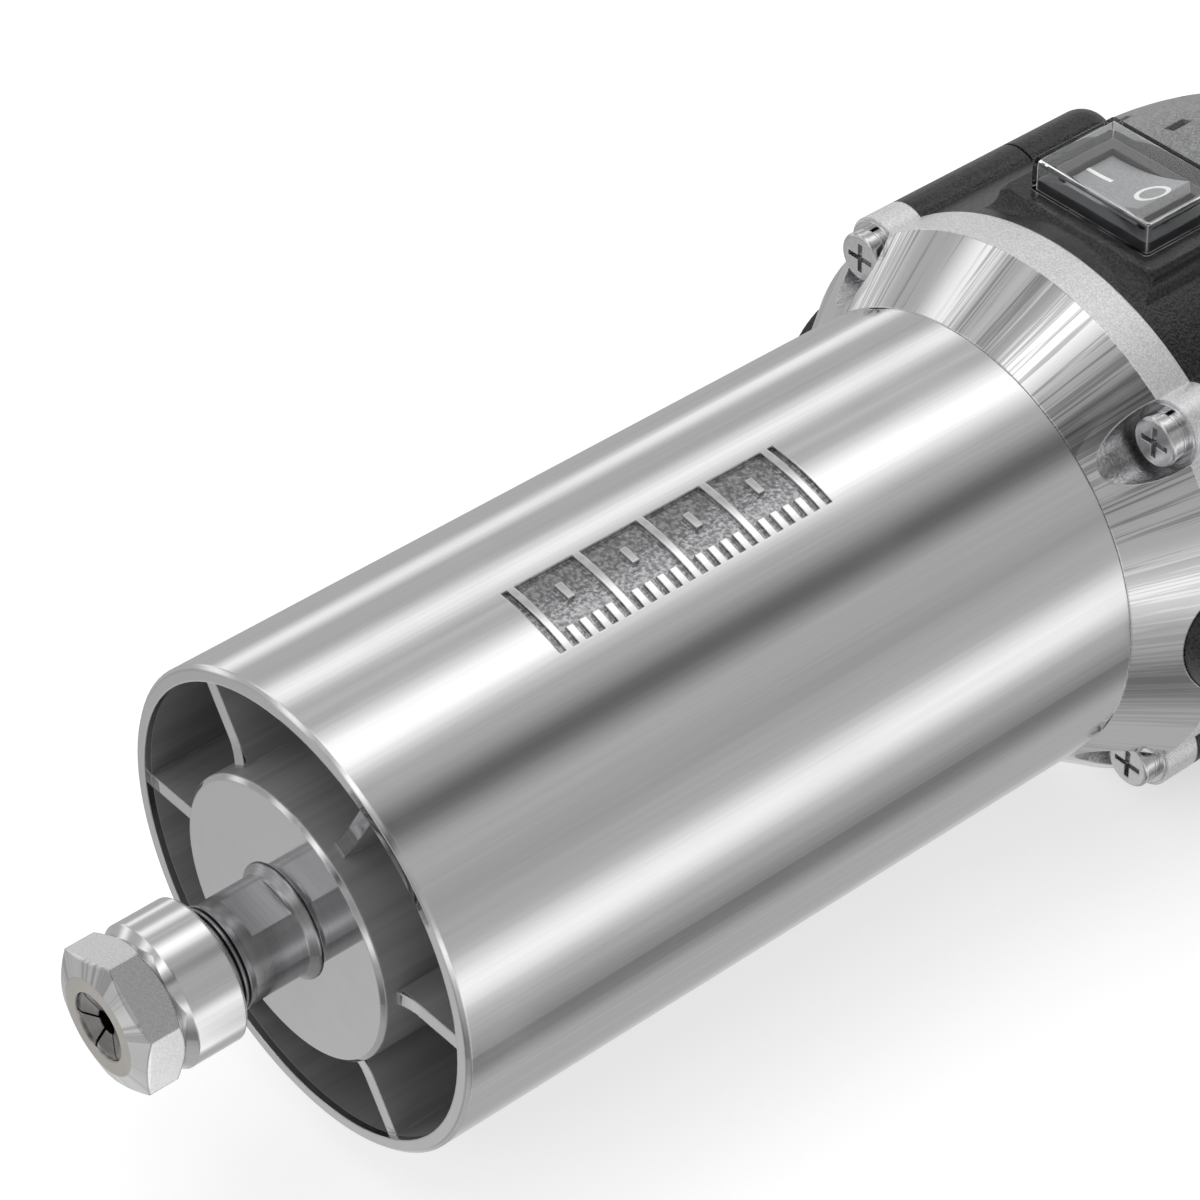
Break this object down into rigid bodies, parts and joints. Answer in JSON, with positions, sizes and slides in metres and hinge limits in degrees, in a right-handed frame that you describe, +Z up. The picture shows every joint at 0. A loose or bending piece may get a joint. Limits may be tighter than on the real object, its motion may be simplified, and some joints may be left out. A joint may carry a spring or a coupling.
{
  "type": "motor spindle",
  "caption": "Motor spindle with a round clamping barrel, a collet chuck and nut in front, and a screwed cone flange, motor housing with covered rocker switch and slotted end cap behind.",
  "frame": {"origin": "on the spindle axis, at the middle of the clamping barrel's length", "axes": "+Y along the spindle axis from the collet to the motor's rear, +Z up through the switch, +X to the right seen from the collet"},
  "size_m": [0.0784, 0.2425, 0.0835],
  "materials": {
    "barrel_alloy": "turned and polished die-cast aluminium, as-cast grey inside",
    "flange_alloy": "brushed cone with a fine blasted band",
    "black_plastic": "finely textured black glass-filled plastic",
    "grey_plastic": "smooth dark grey plastic",
    "zinc_steel": "bright zinc plating",
    "shaft_steel": "ground steel",
    "nut_steel": "satin nickel plating, polished collar",
    "collet_steel": "hardened and ground spring steel",
    "bearing_steel": "ground bearing steel",
    "spring_steel": "oiled spring steel",
    "lamination_steel": "stacked electrical sheet",
    "copper_wire": "enamelled copper wire, varnished",
    "copper_bar": "turned copper",
    "phenolic": "moulded phenolic resin",
    "carbon": "pressed carbon",
    "brass": "drawn brass",
    "fan_plastic": "moulded black nylon",
    "switch_plastic": "moulded black plastic",
    "rocker_plastic": "fine satin dark grey plastic",
    "clear_plastic": "clear moulded cover",
    "rubber": "moulded rubber"
  },
  "bodies": {
    "stator": {"barrel_housing": "barrel_alloy", "motor_flange": "flange_alloy", "motor_housing": "black_plastic", "end_cap": "grey_plastic", "end_cap_screws": "zinc_steel", "flange_screws": "zinc_steel", "spring_washers": "zinc_steel", "flat_washers": "zinc_steel", "cord_gland": "black_plastic", "gland_nut": "black_plastic", "gland_seal": "rubber", "spindle_bearing_outer_rings": "bearing_steel", "spindle_bearing_balls": "bearing_steel", "tail_bearing_outer_ring": "bearing_steel", "tail_bearing_balls": "bearing_steel", "bearing_spacer": "shaft_steel", "wave_spring": "spring_steel", "bearing_circlip": "spring_steel", "field_core": "lamination_steel", "field_windings": "copper_wire", "brush_holders": "brass", "carbon_brushes": "carbon", "brush_springs": "spring_steel", "brush_caps": "switch_plastic", "switch_body": "switch_plastic", "switch_cover": "clear_plastic", "switch_terminals": "brass"},
    "rotor": {"spindle_shaft": "shaft_steel", "spindle_bearing_inner_rings": "bearing_steel", "tail_bearing_inner_ring": "bearing_steel", "commutator_hub": "phenolic", "commutator_bars": "copper_bar", "armature_core": "lamination_steel", "armature_windings": "copper_wire", "cooling_fan": "fan_plastic"},
    "collet": {"collet": "collet_steel"},
    "nut": {"collet_nut": "nut_steel"},
    "rocker": {"switch_rocker": "rocker_plastic"}
  },
  "joints": [
    {"name": "rotor_spin", "type": "hinge", "parent": "stator", "child": "rotor", "pos_m": [0, 0, 0], "axis": [0, 1, 0], "continuous": true},
    {"name": "collet_travel", "type": "slide", "parent": "rotor", "child": "collet", "axis": [0, -1, 0], "range_m": [0, 0.00225]},
    {"name": "nut_turn", "type": "hinge", "parent": "collet", "child": "nut", "pos_m": [0, -0.076, 0], "axis": [0, -1, 0], "range_deg": [0, 1080]},
    {"name": "rocker_tilt", "type": "hinge", "parent": "stator", "child": "rocker", "pos_m": [0, 0.08345, 0.038], "axis": [0, 1, 0], "range_deg": [0, 23]}
  ],
  "couplings": [
    {"joint": "nut_turn", "follows": "collet_travel", "rad_per_m": 8377.6}
  ]
}
